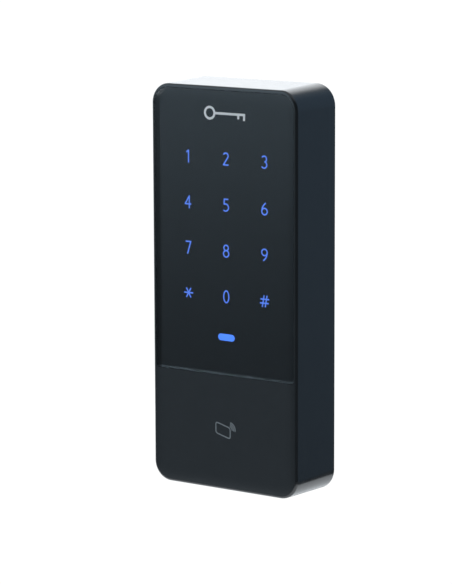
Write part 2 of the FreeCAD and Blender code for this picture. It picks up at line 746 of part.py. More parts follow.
def pan_screw(x, z, seat_y, radius, length, head_radius, head_height):
    """Pan-head screw driven towards the front, with a cross in its head."""
    arm, depth = SCREW_CROSS * head_radius, 0.45 * head_height
    head = rod_y(x, z, head_radius, seat_y, seat_y + head_height)
    rim = edges_on_plane(head, seat_y + head_height)
    head = head.makeFillet(depth, rim)
    shank = rod_y(x, z, radius, seat_y - length, seat_y)
    cross = [
        block(x, seat_y + depth, z, 2 * arm, head_height, 0.5 * arm),
        block(x, seat_y + depth, z, 0.5 * arm, head_height, 2 * arm),
    ]
    return without(joined([head, shank]), cross)


def board_screws():
    screws = []
    for x, z in both_sides(BOARD_SCREW_X, BOARD_SCREW_ZS):
        screws.append(pan_screw(
            x, z, BOARD_BACK_Y, BOARD_SCREW_RADIUS, BOARD_SCREW_LENGTH, BOARD_HEAD_RADIUS, BOARD_HEAD_HEIGHT,
        ))
    return screws


def flat_pack(x, z, side, height, pins, pin_length):
    """Chip with gull-wing leads on its four sides, on the back of the main board."""
    body = block(x, BOARD_BACK_Y + STANDOFF, z, side, height - STANDOFF, side)
    pitch = (side - 2 * CHIP_CORNER) / (pins - 1)
    leads = []
    for index in range(pins):
        along = (index - (pins - 1) / 2) * pitch
        for sign in (-1, 1):
            reach = sign * (side / 2 + pin_length / 2)
            leads.append(block(x + reach, BOARD_BACK_Y, z + along, pin_length, LEAD_HEIGHT, 0.5 * pitch))
            leads.append(block(x + along, BOARD_BACK_Y, z + reach, 0.5 * pitch, LEAD_HEIGHT, pin_length))
    return joined([body] + leads)


def main_chip():
    return [flat_pack(-8.0, 45.0, 10.0, 1.4, 12, 1.0)]


def touch_chip():
    return [flat_pack(8.0, 50.0, 6.0, 1.1, 7, 0.7)]


def radio_chip():
    return [flat_pack(9.0, -50.0, 6.0, 1.1, 7, 0.7)]


def small_outline(x, z):
    """Eight-lead chip."""
    width, height, length = SMALL_CHIP
    body = block(x, BOARD_BACK_Y + STANDOFF, z, width, height, length)
    leads = []
    for index in range(4):
        lead_z = z + (index - 1.5) * SMALL_CHIP_PITCH
        for sign in (-1, 1):
            lead_x = x + sign * (width + SMALL_CHIP_LEAD) / 2
            leads.append(block(lead_x, BOARD_BACK_Y, lead_z, SMALL_CHIP_LEAD, LEAD_HEIGHT, LEAD_WIDTH))
    return joined([body] + leads)


def interface_chips():
    return [small_outline(SMALL_CHIP_X, z) for z in SMALL_CHIP_ZS]


def crystals():
    width, height, length = CRYSTAL
    return [block(x, BOARD_BACK_Y, z, width, height, length) for x, z in CRYSTAL_PLACES]


def bulk_capacitors():
    width, height, length = CAPACITOR_BASE
    top = BOARD_BACK_Y + CAPACITOR_HEIGHT
    cans = []
    for z in CAPACITOR_ZS:
        base = block(POWER_X, BOARD_BACK_Y, z, width, height, length)
        can = rod_y(POWER_X, z, CAPACITOR_RADIUS, BOARD_BACK_Y + height, top)
        can = can.makeFillet(0.5, edges_on_plane(can, top))
        cans.append(joined([base, can]))
    return cans


def power_inductor():
    half = INDUCTOR_HALF
    body = slab(half, -half, half, 1.0, BOARD_BACK_Y, BOARD_BACK_Y + INDUCTOR_HEIGHT)
    return [body.translated(Vector(POWER_X, 0, INDUCTOR_Z))]


def small_passives():
    """Rows of chip resistors and capacitors."""
    width, height, length = PASSIVE
    parts = []
    for x, z, count in PASSIVE_ROWS:
        for index in range(count):
            parts.append(block(x + index * PASSIVE_PITCH, BOARD_BACK_Y, z, width, height, length))
    return parts


def harness_headers():
    """Two shrouded wire headers, open towards the rear cover."""
    headers = []
    wall = 2 * HARNESS_WALL
    for z, ways in HARNESS_ROWS:
        length = (ways + 1) * HARNESS_PITCH
        shroud = block(0, BOARD_BACK_Y, z, length, HARNESS_HEIGHT, HARNESS_WIDTH)
        well_y = BOARD_BACK_Y + HARNESS_FLOOR
        well = block(0, well_y, z, length - wall, HARNESS_HEIGHT, HARNESS_WIDTH - wall)
        pins = []
        for index in range(ways):
            x = (index - (ways - 1) / 2) * HARNESS_PITCH
            pins.append(block(x, BOARD_BACK_Y, z, HARNESS_PIN, HARNESS_PIN_HEIGHT, HARNESS_PIN))
        headers.append(joined([shroud.cut(well)] + pins))
    return headers


def buzzer():
    top = BOARD_BACK_Y + BUZZER_HEIGHT
    can = rod_y(BUZZER_X, BUZZER_Z, BUZZER_RADIUS, BOARD_BACK_Y, top)
    can = can.makeFillet(0.6, edges_on_plane(can, top))
    return [can.cut(rod_y(BUZZER_X, BUZZER_Z, BUZZER_HOLE, top - 1.5, top + OVERCUT))]


def antenna_board():
    y, back = ANTENNA_FRONT_Y, ANTENNA_FRONT_Y + ANTENNA_THICK
    board = slab(ANTENNA_HALF_W, ANTENNA_LOW_Z, ANTENNA_HIGH_Z, 1.0, y, back)
    return [without(board, [rod_y(x, z, ANTENNA_PIN_RADIUS + SLIP_GAP, y, back) for x, z in antenna_pins()])]


def antenna_coil():
    """Square spiral of flat copper on the front of the antenna board."""
    y = ANTENNA_FRONT_Y - COIL_THICK
    middle_z = (ANTENNA_LOW_Z + ANTENNA_HIGH_Z) / 2
    half_w, half_h = COIL_HALF_W, COIL_HALF_H
    points = [(-half_w, middle_z - half_h)]
    for turn in range(COIL_TURNS):
        inset = turn * COIL_PITCH
        left, right = -half_w + inset, half_w - inset
        low, high = middle_z - half_h + inset, middle_z + half_h - inset
        points += [(left, high), (right, high), (right, low), (left + COIL_PITCH, low)]
    traces = []
    for p, q in zip(points, points[1:]):
        traces.append(bar(p, q, COIL_TRACE, y, COIL_THICK))
        traces.append(block(q[0], y, q[1], COIL_TRACE, COIL_THICK, COIL_TRACE))
    return [joined(traces)]


def ferrite_sheet():
    y = ANTENNA_FRONT_Y + ANTENNA_THICK
    low, high = ANTENNA_LOW_Z + 2.5, ANTENNA_HIGH_Z - 3.0
    return [slab(FERRITE_HALF_W, low, high, 1.0, y, y + FERRITE_THICK)]


def antenna_header():
    y = ANTENNA_FRONT_Y + ANTENNA_THICK
    return [block(0, y, ANTENNA_HIGH_Z - 1.4, 6.0, BOARD_Y - y, 2.4)]


# ---------------------------------------------------------------- rear cover

def seal_ring(grow, y_front, y_back):
    """Closed ring that runs round the ledge."""
    half = SEAL_WIDTH / 2 + grow
    w, h = SEAL_MID_HALF_W, SEAL_MID_HALF_H
    corner = SEAL_MID_CORNER
    outer = slab(w + half, -h - half, h + half, corner + half, y_front, y_back)
    return outer.cut(slab(w - half, -h + half, h - half, corner - half, y_front, y_back))


def cover_seal():
    return [seal_ring(0, COVER_INNER_Y - SEAL_DEPTH, COVER_INNER_Y)]


def bridge(x, hook_z):
    """Bar on two ribs that hangs on one bracket hook."""
    low = hook_z + STEEL + HOOK_GAP
    high = hook_z + STEEL + FINGER_HEIGHT
    middle, root_y = (low + high) / 2, COVER_OUTER_Y - MERGE
    shapes = [block(x, BRIDGE_BACK_Y - BRIDGE_DEPTH, middle, BRIDGE_LENGTH, BRIDGE_DEPTH, high - low)]
    for side in (-1, 1):
        centre = x + side * (BRIDGE_LENGTH - BRIDGE_RIB) / 2
        shapes.append(block(centre, root_y, middle, BRIDGE_RIB, BRIDGE_BACK_Y - root_y, high - low + 3))
    return shapes


def rear_cover():
    plate = slab(COVER_HALF_W, -COVER_HALF_H, COVER_HALF_H, COVER_CORNER, COVER_INNER_Y, COVER_OUTER_Y)
    plate = plate.makeFillet(0.5, edges_on_plane(plate, COVER_OUTER_Y))
    added = [rod_y(TAMPER_X, TAMPER_Z, TAMPER_GUIDE_RADIUS, COVER_OUTER_Y - MERGE, TAMPER_GUIDE_Y)]
    for x, z in both_sides(HOOK_X, HOOK_ZS):
        added += bridge(x, z)
    rib_y, rib_depth = COVER_OUTER_Y - MERGE, RIB_HEIGHT + MERGE
    middle_z, length = sum(RIB_ZS) / 2, abs(RIB_ZS[0] - RIB_ZS[1])
    for z in RIB_ZS:
        added.append(block(0, rib_y, z, CROSS_RIB_LENGTH, rib_depth, RIB_WIDTH))
    for x in (-LONG_RIB_X, LONG_RIB_X):
        added.append(block(x, rib_y, middle_z, RIB_WIDTH, rib_depth, length))
    whole = joined([plate] + added)
    cuts = [
        rod_y(TAMPER_X, TAMPER_Z, TAMPER_ROD + TAMPER_GAP, COVER_INNER_Y - OVERCUT, 0),
        rod_y(0, GLAND_Z, GLAND_NECK, COVER_INNER_Y - OVERCUT, COVER_OUTER_Y + OVERCUT),
        rod_y(0, GLAND_Z, GLAND_FLANGE + 0.3, COVER_OUTER_Y, COVER_OUTER_Y + RIB_HEIGHT + OVERCUT),
        rod_y(VENT_X, VENT_Z, VENT_RADIUS, COVER_OUTER_Y - VENT_DEPTH, COVER_OUTER_Y + OVERCUT),
        rod_y(VENT_X, VENT_Z, VENT_HOLE, COVER_INNER_Y - OVERCUT, COVER_OUTER_Y + OVERCUT),
    ]
    for x, z in both_sides(COVER_SCREW_X, COVER_SCREW_ZS):
        hole, recess = COVER_SCREW_RADIUS + SCREW_PASSAGE, COVER_HEAD_RADIUS + SCREW_PASSAGE
        cuts.append(rod_y(x, z, hole, COVER_INNER_Y - OVERCUT, COVER_OUTER_Y + OVERCUT))
        cuts.append(rod_y(x, z, recess, COVER_OUTER_Y - COVER_HEAD_HEIGHT, COVER_OUTER_Y + OVERCUT))
    return [without(whole, cuts)]


def cover_screws():
    seat = COVER_OUTER_Y - COVER_HEAD_HEIGHT
    length = seat - COVER_INNER_Y + COVER_SCREW_LENGTH - COVER_SCREW_SHORT
    screws = []
    for x, z in both_sides(COVER_SCREW_X, COVER_SCREW_ZS):
        screws.append(pan_screw(
            x, z, seat, COVER_SCREW_RADIUS, length, COVER_HEAD_RADIUS, COVER_HEAD_HEIGHT,
        ))
    return screws


def cable_gland():
    flange = GLAND_FLANGE_THICK
    wide, narrow = GLAND_BOOT_RADII
    boot_y = COVER_OUTER_Y + flange
    body = joined([
        rod_y(0, GLAND_Z, GLAND_FLANGE, COVER_INNER_Y - flange, COVER_INNER_Y),
        rod_y(0, GLAND_Z, GLAND_NECK, COVER_INNER_Y, COVER_OUTER_Y),
        rod_y(0, GLAND_Z, GLAND_FLANGE, COVER_OUTER_Y, COVER_OUTER_Y + flange),
        Part.makeCone(wide, narrow, GLAND_BOOT_LENGTH, Vector(0, boot_y, GLAND_Z), Y_AXIS),
    ])
    bore_end = boot_y + GLAND_BOOT_LENGTH + OVERCUT
    bore = rod_y(0, GLAND_Z, GLAND_BORE, COVER_INNER_Y - flange - OVERCUT, bore_end)
    return [body.cut(bore)]


def vent_membrane():
    y = COVER_OUTER_Y - VENT_DEPTH
    return [rod_y(VENT_X, VENT_Z, MEMBRANE_RADIUS, y, y + MEMBRANE_THICK)]


# ---------------------------------------------------------------- tamper switch

def tamper_switch():
    height = SWITCH_TOP_Y - BOARD_BACK_Y
    length, width = SWITCH_SIZE
    body = block(TAMPER_X, BOARD_BACK_Y, TAMPER_Z, length, height, width)
    well = rod_y(
        TAMPER_X, TAMPER_Z, BUTTON_RADIUS + TAMPER_GAP, BOARD_BACK_Y + SWITCH_WELL, SWITCH_TOP_Y + OVERCUT,
    )
    return [body.cut(well)]


def tamper_button():
    end_y = TAMPER_CONTACT_Y - TOUCH_GAP
    return [rod_y(TAMPER_X, TAMPER_Z, BUTTON_RADIUS, BOARD_BACK_Y + BUTTON_LIFT, end_y)]


def tamper_spring():
    """Compression spring round the switch, between the main board and the plunger's flange."""
    length = TAMPER_FLANGE_Y - TAMPER_FLANGE_THICK - BOARD_BACK_Y
    rise = length - 2 * (SPRING_WIRE + TOUCH_GAP)
    helix = Part.makeHelix(rise / SPRING_TURNS, rise, SPRING_RADIUS)
    section = Part.Wire(Part.makeCircle(SPRING_WIRE, Vector(SPRING_RADIUS, 0, 0), Y_AXIS))
    coil = Part.Wire(helix.Edges).makePipeShell([section], True, True)
    coil.rotate(Vector(0, 0, 0), X_AXIS, -90)
    coil.translate(Vector(TAMPER_X, BOARD_BACK_Y + SPRING_WIRE + TOUCH_GAP, TAMPER_Z))
    return [coil]


def tamper_plunger():
    flange_y = TAMPER_FLANGE_Y - TAMPER_FLANGE_THICK
    rod = rod_y(TAMPER_X, TAMPER_Z, TAMPER_ROD, TAMPER_FLANGE_Y, TAMPER_TIP_Y)
    rod = rod.makeFillet(TAMPER_TIP_ROUND, edges_on_plane(rod, TAMPER_TIP_Y))
    return [joined([
        rod,
        rod_y(TAMPER_X, TAMPER_Z, TAMPER_FLANGE_RADIUS, flange_y, TAMPER_FLANGE_Y),
        rod_y(TAMPER_X, TAMPER_Z, TAMPER_PEG, TAMPER_CONTACT_Y, flange_y),
    ])]


# ---------------------------------------------------------------- wall bracket and lock screw

def hook(x, z):
    """Tongue bent forwards out of the plate, with an upright finger at its end."""
    tongue = block(x, -HOOK_REACH, z + STEEL / 2, 2 * HOOK_HALF_W, HOOK_REACH - STEEL / 2, STEEL)
    height = STEEL + FINGER_HEIGHT
    finger = block(x, -HOOK_REACH, z + height / 2, 2 * HOOK_HALF_W, STEEL, height)
    return [tongue, finger]


def wall_bracket():
    plate = slab(BRACKET_HALF_W, BRACKET_LOW_Z, BRACKET_HIGH_Z, BRACKET_CORNER, -STEEL, 0, BRACKET_LOW_CORNER)
    flange_low, flange_high = BRACKET_LOW_Z + FLANGE_SHORT, BRACKET_HIGH_Z - FLANGE_SHORT
    solids = [plate]
    for side in (-1, 1):
        solids.append(block(
            side * (BRACKET_HALF_W - STEEL / 2), -FLANGE_REACH, (flange_low + flange_high) / 2,
            STEEL, FLANGE_REACH - STEEL / 2, flange_high - flange_low,
        ))
    for x, z in both_sides(HOOK_X, HOOK_ZS):
        solids += hook(x, z)
    solids.append(block(0, -TAB_REACH, BRACKET_LOW_Z + STEEL / 2, TAB_WIDTH, TAB_REACH - STEEL / 2, STEEL))
    cut_y = -STEEL - OVERCUT
    cuts = [slab(CABLE_HALF_W, -CABLE_HALF_H, CABLE_HALF_H, CABLE_CORNER, cut_y, OVERCUT)]
    for x, z in both_sides(HOOK_X, HOOK_ZS):
        opening = HOOK_REACH + FINGER_HEIGHT
        width = 2 * (HOOK_HALF_W + HOOK_WINDOW_GAP)
        cuts.append(block(x, -STEEL, z + STEEL + opening / 2, width, STEEL + OVERCUT, opening))
    half_slot = WALL_SLOT_LENGTH / 2
    slot = slab(WALL_SCREW_RADIUS, -half_slot, half_slot, WALL_SCREW_RADIUS - 1e-3, cut_y, OVERCUT)
    for side in (-1, 1):
        cuts.append(slot.translated(Vector(0, 0, side * SCREW_SLOT_Z)))
        cuts.append(rod_y(0, side * SCREW_HOLE_Z, WALL_SCREW_RADIUS, cut_y, OVERCUT))
    room = TAMPER_ROD + TAMPER_PASSAGE_GAP
    high = TAMPER_Z + room + LIFT_TRAVEL + 0.6
    passage = slab(room, TAMPER_Z - room, high, room - 1e-2, cut_y, OVERCUT)
    mirrored = passage.translated(Vector(0, 0, TAMPER_Z - LIFT_TRAVEL - high))
    for x in (-TAMPER_X, TAMPER_X):
        cuts.append(passage.translated(Vector(x, 0, 0)))
        cuts.append(mirrored.translated(Vector(x, 0, 0)))
    cuts.append(rod_z(0, LOCK_Y, NUT_COLLAR, BRACKET_LOW_Z - OVERCUT, BRACKET_LOW_Z + STEEL + OVERCUT))
    return [without(joined(solids), cuts)]


def bracket_nut():
    top = BRACKET_LOW_Z + STEEL
    body = joined([
        rod_z(0, LOCK_Y, NUT_COLLAR, BRACKET_LOW_Z, top),
        rod_z(0, LOCK_Y, NUT_RADIUS, top, top + NUT_HEIGHT),
    ])
    hole = rod_z(0, LOCK_Y, LOCK_RADIUS + NUT_CLEARANCE, BRACKET_LOW_Z - OVERCUT, top + NUT_HEIGHT + OVERCUT)
    return [body.cut(hole)]


def lock_screw():
    head_low = LOCK_SEAT_Z - LOCK_HEAD_HEIGHT
    head = rod_z(0, LOCK_Y, LOCK_HEAD_RADIUS, head_low, LOCK_SEAT_Z)
    rim = [edge for edge in head.Edges if abs(edge.BoundBox.ZMax - head_low) < 1e-4]
    head = head.makeFillet(LOCK_HEAD_ROUND, rim)
    shank = rod_z(0, LOCK_Y, LOCK_RADIUS, LOCK_SEAT_Z, LOCK_TIP_Z)
    tip = [edge for edge in shank.Edges if abs(edge.BoundBox.ZMin - LOCK_TIP_Z) < 1e-4]
    shank = shank.makeChamfer(LOCK_TIP_CHAMFER, tip)
    low, high = LOCK_RING_Z - TOUCH_GAP, LOCK_RING_Z + LOCK_RING_THICK + TOUCH_GAP
    groove = rod_z(0, LOCK_Y, LOCK_RING_RADIUS, low, high)
    groove = groove.cut(rod_z(0, LOCK_Y, LOCK_GROOVE_RADIUS, low, high))
    points = []
    for index in range(7):
        angle = math.radians(60 * index)
        x, y = LOCK_SOCKET_RADIUS * math.cos(angle), LOCK_SOCKET_RADIUS * math.sin(angle)
        points.append(Vector(x, LOCK_Y + y, head_low - OVERCUT))
    socket = Part.Face(Part.makePolygon(points)).extrude(Vector(0, 0, LOCK_SOCKET_DEPTH + OVERCUT))
    pin = rod_z(0, LOCK_Y, LOCK_PIN_RADIUS, head_low + LOCK_PIN_GAP, head_low + LOCK_SOCKET_DEPTH + MERGE)
    return [joined([without(joined([head, shank]), [groove, socket]), pin])]


def lock_screw_ring():
    """Open retaining ring in the screw's groove. It keeps the screw in the housing."""
    low, high = LOCK_RING_Z, LOCK_RING_Z + LOCK_RING_THICK
    body = rod_z(0, LOCK_Y, LOCK_RING_RADIUS, low, high)
    inside = LOCK_GROOVE_RADIUS + TOUCH_GAP
    reach, height = LOCK_RING_RADIUS + OVERCUT, LOCK_RING_THICK + OVERCUT
    mouth = block(0, LOCK_Y, (low + high) / 2, LOCK_RING_MOUTH, reach, height)
    cuts = [rod_z(0, LOCK_Y, inside, low - OVERCUT, high + OVERCUT), mouth]
    return [without(body, cuts)]


# ---------------------------------------------------------------- export

NODES = (
    front_housing, keypad_panel, panel_print, panel_tape, key_legends, status_window, badge_symbol,
    card_symbol, legend_diffuser, touch_board, touch_pads, light_frame, status_light_pipe,
    key_leds, keypad_header,
    main_board, board_screws, main_chip, touch_chip, radio_chip, interface_chips, crystals,
    bulk_capacitors, power_inductor, small_passives, harness_headers, buzzer,
    antenna_board, antenna_coil, ferrite_sheet, antenna_header,
    cover_seal, rear_cover, cover_screws, cable_gland, vent_membrane,
    tamper_switch, tamper_button, tamper_spring, tamper_plunger,
    wall_bracket, bracket_nut, lock_screw, lock_screw_ring,
)


def main():
    os.makedirs("parts", exist_ok=True)
    for build in NODES:
        solids = []
        for shape in build():
            solids += shape.Solids
        for solid in solids:
            if not solid.isValid() or solid.Volume <= 0:
                raise ValueError(f"{build.__name__} holds a solid that is not valid")
        whole = solids[0] if len(solids) == 1 else Part.makeCompound(solids)
        whole.exportStep(f"parts/{build.__name__}.step")
        print(f"{build.__name__}: {len(solids)} solids, {sum(s.Volume for s in solids):.2f} mm3")


main()
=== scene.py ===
"""A wall-mounted keypad access reader: finishes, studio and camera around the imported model.

Lengths are in metres in the model's own frame: X along the wall, Y into the wall, Z up.
"""

import json
import math

import bpy
from mathutils import Matrix, Vector

MM = 0.001

# The camera: where it looks from, how far it stands, and how the object sits in its frame.
CAMERA_AZIMUTH = 34.949
CAMERA_ELEVATION = 9.811
CAMERA_ROLL = -0.218
CAMERA_DISTANCE = 1.1094
CAMERA_SIDE = -0.014444
CAMERA_RISE = -0.004263
CAMERA_LENS = 170.65

FLOOR_DROP = 0.8
FLOOR_RADIUS = 1.5
FLOOR_SIDES = 96
FLOOR_GLOW = 0.75
STUDIO_TINT = (0.68, 0.85, 1.0)
STUDIO_LEVEL = 0.1
BACKGROUND_LEVEL = 1.05

# How strongly the backlit symbols behind the panel glow, how strong the painted glow on the unlit badge print
# is, and the refractive index of three plastics.
LEGEND_GLOW = 0.95
STATUS_GLOW = 1.1
BADGE_PAINTED_GLOW = 0.6
HOUSING_IOR = 1.62
PANEL_IOR = 1.45
GUIDE_IOR = 1.49

# Soft lights round the studio: azimuth, elevation, inner and outer angle in degrees, strength, colour.
# Azimuth 0 is straight in front of the reader, and 90 is to its right.
SOFT_LIGHTS = [
    (215, 14, 18, 42, 2.0, (0.94, 0.97, 1.0)),
    (0, 90, 20, 62, 0.7, (0.84, 0.93, 1.0)),
    (325, 22, 12, 36, 1.45, (0.66, 0.85, 1.0)),
    (325, -33, 8, 26, 0.38, (0.72, 0.87, 1.0)),
    (262, 10, 10, 50, 0.8, (0.84, 0.93, 1.0)),
    (145, 20, 10, 45, 0.36, (0.42, 0.68, 1.0)),
]


class Surface:
    """A Principled material and the texture nodes that give it detail, in object coordinates."""

    def __init__(self, name, colour, roughness, metallic=0.0, **sockets):
        self.material = bpy.data.materials.new(name)
        self.material.use_nodes = True
        self.tree = self.material.node_tree
        self.shader = self.tree.nodes["Principled BSDF"]
        self.place = self.tree.nodes.new("ShaderNodeTexCoord").outputs["Object"]
        self.colour = (*colour, 1.0)
        self.shader.inputs["Base Color"].default_value = self.colour
        self.shader.inputs["Roughness"].default_value = roughness
        self.shader.inputs["Metallic"].default_value = metallic
        for socket, value in sockets.items():
            self.shader.inputs[socket.replace("_", " ")].default_value = value
        self.height = None

    def node(self, kind, inputs=(), **settings):
        """A new node with its settings; inputs pairs a socket's name or number with a value or output."""
        made = self.tree.nodes.new(kind)
        for setting, value in settings.items():
            setattr(made, setting, value)
        for socket, value in dict(inputs).items():
            if isinstance(value, bpy.types.NodeSocket):
                self.tree.links.new(value, made.inputs[socket])
            else:
                made.inputs[socket].default_value = value
        return made

    def stretched(self, stretch):
        """The object coordinates, squeezed by that much along each axis."""
        mapping = {"Vector": self.place, "Scale": stretch}
        return self.node("ShaderNodeMapping", mapping).outputs["Vector"]

    def noise(self, cell, detail=3.0, stretch=(1, 1, 1)):
        """Cloudy noise with features about one cell across."""
        inputs = {"Vector": self.stretched(stretch), "Scale": 1 / cell, "Detail": detail}
        return self.node("ShaderNodeTexNoise", inputs).outputs["Fac"]

    def grains(self, cell, stretch=(1, 1, 1)):
        """The distance to the nearest of many scattered points, in cells."""
        inputs = {"Vector": self.stretched(stretch), "Scale": 1 / cell}
        return self.node("ShaderNodeTexVoronoi", inputs).outputs["Distance"]

    def stripes(self, period, axis="X", wobble=0.0):
        """Soft parallel bands across one axis."""
        inputs = {"Vector": self.place, "Scale": 1 / (period * 3.2), "Distortion": wobble}
        return self.node("ShaderNodeTexWave", inputs, bands_direction=axis).outputs["Fac"]

    def fade(self, value, start, end, low=0.0, high=1.0):
        """The value mapped from start..end to low..high, and held there outside."""
        inputs = {"Value": value, "From Min": start, "From Max": end, "To Min": low, "To Max": high}
        return self.node("ShaderNodeMapRange", inputs).outputs["Result"]

    def combine(self, first, second, operation="MULTIPLY"):
        """Two values put together by a math operation."""
        return self.node("ShaderNodeMath", {0: first, 1: second}, operation=operation).outputs[0]

    def tint(self, factor, colour):
        """Turns the base colour towards another one where the factor is 1."""
        socket = self.shader.inputs["Base Color"]
        before = socket.links[0].from_socket if socket.is_linked else self.colour
        mix = self.node("ShaderNodeMix", {0: factor, 6: before, 7: (*colour, 1.0)}, data_type="RGBA")
        self.tree.links.new(mix.outputs[2], socket)
        return self

    def gloss(self, factor, low, high):
        """Roughness from low to high as the factor goes from 0 to 1."""
        self.tree.links.new(self.fade(factor, 0.0, 1.0, low, high), self.shader.inputs["Roughness"])
        return self

    def bump(self, factor, height):
        """Raises the surface by that height where the factor is 1, on top of earlier bumps."""
        inputs = {"Height": factor, "Distance": height, "Strength": 1.0}
        if self.height is not None:
            inputs["Normal"] = self.height
        self.height = self.node("ShaderNodeBump", inputs).outputs["Normal"]
        self.tree.links.new(self.height, self.shader.inputs["Normal"])
        return self


def moulded_plastic(name, colour, pale, low, high, grain=0.35 * MM, depth=0.002 * MM):
    """Moulded plastic: faint clouds in the colour, uneven gloss and a fine eroded grain."""
    surface = Surface(name, colour, low)
    surface.tint(surface.fade(surface.noise(9 * MM), 0.35, 0.75), pale)
    surface.gloss(surface.noise(3 * MM, 5.0), low, high)
    surface.bump(surface.noise(grain, 2.0), depth)
    return surface.bump(surface.noise(6 * MM, 1.0), depth)


def housing_black():
    """Satin black housing with handling haze and a few hairline scuffs."""
    surface = moulded_plastic(
        "housing_black", (0.0092, 0.0104, 0.0116), (0.011, 0.0123, 0.0136), 0.17, 0.23, 0.5 * MM, 0.0005 * MM
    )
    surface.shader.inputs["IOR"].default_value = HOUSING_IOR
    scuffs = surface.fade(surface.noise(0.6 * MM, 4.0, stretch=(0.12, 1, 1)), 0.66, 0.8, 0.0, 0.2)
    return surface.tint(scuffs, (0.02, 0.022, 0.024))


def panel_clear():
    """Clear polished acrylic with faint fingertip haze over the keys."""
    surface = Surface("panel_clear", (0.96, 0.985, 1.0), 0.0, Transmission_Weight=1.0, IOR=PANEL_IOR)
    surface.gloss(surface.fade(surface.noise(14 * MM, 4.0), 0.5, 0.8), 0.0, 0.05)
    return surface


def panel_ink():
    """Opaque black screen ink, faintly clouded."""
    surface = Surface("panel_ink", (0.002, 0.0026, 0.0032), 0.5, Specular_IOR_Level=0.0)
    surface.tint(surface.fade(surface.noise(2 * MM), 0.4, 0.8), (0.003, 0.0037, 0.0043))
    surface.gloss(surface.noise(1 * MM), 0.45, 0.6)
    return surface.bump(surface.noise(0.5 * MM, 1.0), 0.0003 * MM)


def adhesive_tape():
    """Black foam tape with open cells."""
    surface = Surface("adhesive_tape", (0.014, 0.014, 0.014), 0.85)
    surface.tint(surface.fade(surface.grains(0.4 * MM), 0.1, 0.5), (0.028, 0.028, 0.028))
    surface.gloss(surface.noise(1 * MM), 0.75, 0.95)
    return surface.bump(surface.grains(0.4 * MM), 0.03 * MM)


def lit_window(name, colour, strength):
    """A translucent symbol that glows evenly, with faint brighter clouds."""
    surface = Surface(name, tuple(0.4 * c for c in colour), 0.4, Emission_Strength=strength)
    glow = surface.fade(surface.noise(5 * MM, 1.0), 0.3, 0.7)
    dim = (*(0.86 * c for c in colour), 1.0)
    mix = surface.node("ShaderNodeMix", {0: glow, 6: dim, 7: (*colour, 1.0)}, data_type="RGBA")
    surface.tree.links.new(mix.outputs[2], surface.shader.inputs["Emission Color"])
    surface.gloss(surface.noise(0.5 * MM), 0.35, 0.5)
    return surface.bump(surface.noise(0.15 * MM), 0.001 * MM)


def printed(name, colour, worn, roughness):
    """Pad-printed ink: pinholes, uneven thickness in clouds, slightly raised grain."""
    surface = Surface(name, colour, roughness)
    surface.tint(surface.fade(surface.noise(0.5 * MM, 4.0), 0.45, 0.8), worn)
    surface.gloss(surface.noise(0.8 * MM), roughness - 0.08, roughness + 0.08)
    return surface.bump(surface.noise(0.12 * MM), 0.002 * MM)


def milky_film():
    """Milky diffusing film with a fine matt tooth."""
    surface = Surface("diffuser_film", (0.8, 0.82, 0.81), 0.6, Subsurface_Weight=0.2, Subsurface_Scale=0.001)
    surface.tint(surface.noise(4 * MM), (0.74, 0.76, 0.75))
    surface.gloss(surface.noise(0.3 * MM), 0.5, 0.7)
    return surface.bump(surface.grains(0.08 * MM), 0.002 * MM)


def circuit_board(name, mask, over_copper, via):
    """Solder mask over tracks, pours and vias on glass-fibre laminate."""
    surface = Surface(name, mask, 0.35)
    across, along = (surface.stripes(0.9 * MM, axis, 2.0) for axis in ("X", "Z"))
    routes = surface.combine(across, along, "MAXIMUM")
    pours = surface.fade(surface.noise(7 * MM, 1.0), 0.48, 0.52)
    copper = surface.combine(surface.fade(routes, 0.62, 0.72), pours, "MAXIMUM")
    vias = surface.fade(surface.grains(2.6 * MM), 0.14, 0.1)
    surface.tint(copper, over_copper)
    surface.tint(vias, via)
    surface.gloss(surface.noise(0.6 * MM), 0.28, 0.42)
    surface.bump(copper, 0.02 * MM)
    return surface.bump(vias, -0.02 * MM)


def metal(name, colour, shade, low, high, stretch=(1, 1, 1), depth=0.002 * MM):
    """Metal with drawn, brushed or plated grain along the axis that the stretch squeezes."""
    surface = Surface(name, colour, low, 1.0)
    surface.tint(surface.fade(surface.noise(0.5 * MM, 5.0, stretch), 0.3, 0.75), shade)
    surface.gloss(surface.noise(0.3 * MM, 4.0, stretch), low, high)
    return surface.bump(surface.noise(0.2 * MM, 3.0, stretch), depth)


def spangled(name, colour, shade, low, high):
    """Plated steel with crystal facets of slightly different gloss."""
    surface = metal(name, colour, shade, low, high)
    surface.tint(surface.fade(surface.grains(0.7 * MM), 0.2, 0.7, 0.0, 0.5), shade)
    return surface


def stone_like(name, colour, speck, low, high, cell=0.25 * MM):
    """Sintered or moulded mineral body with specks."""
    surface = Surface(name, colour, low)
    surface.tint(surface.fade(surface.noise(cell, 5.0), 0.5, 0.75), speck)
    surface.gloss(surface.noise(0.6 * MM), low, high)
    return surface.bump(surface.noise(cell, 4.0), 0.006 * MM)


def rubber(name, colour, bloom):
    """Soft matt rubber with pale bloom and a dusty tooth."""
    surface = Surface(name, colour, 0.7, Sheen_Weight=0.15, Sheen_Roughness=0.5)
    surface.tint(surface.fade(surface.noise(3 * MM, 6.0), 0.45, 0.8), bloom)
    surface.gloss(surface.noise(1.5 * MM), 0.6, 0.82)
    return surface.bump(surface.noise(0.2 * MM, 3.0), 0.006 * MM)


def membrane():
    """Porous white membrane made of fine tangled fibres."""
    surface = Surface("vent_white", (0.78, 0.78, 0.76), 0.9)
    surface.tint(surface.fade(surface.noise(0.15 * MM, 5.0, (1, 1, 0.25)), 0.5, 0.7), (0.6, 0.6, 0.58))
    surface.gloss(surface.noise(0.3 * MM), 0.8, 1.0)
    return surface.bump(surface.noise(0.12 * MM, 4.0, (0.3, 1, 1)), 0.01 * MM)


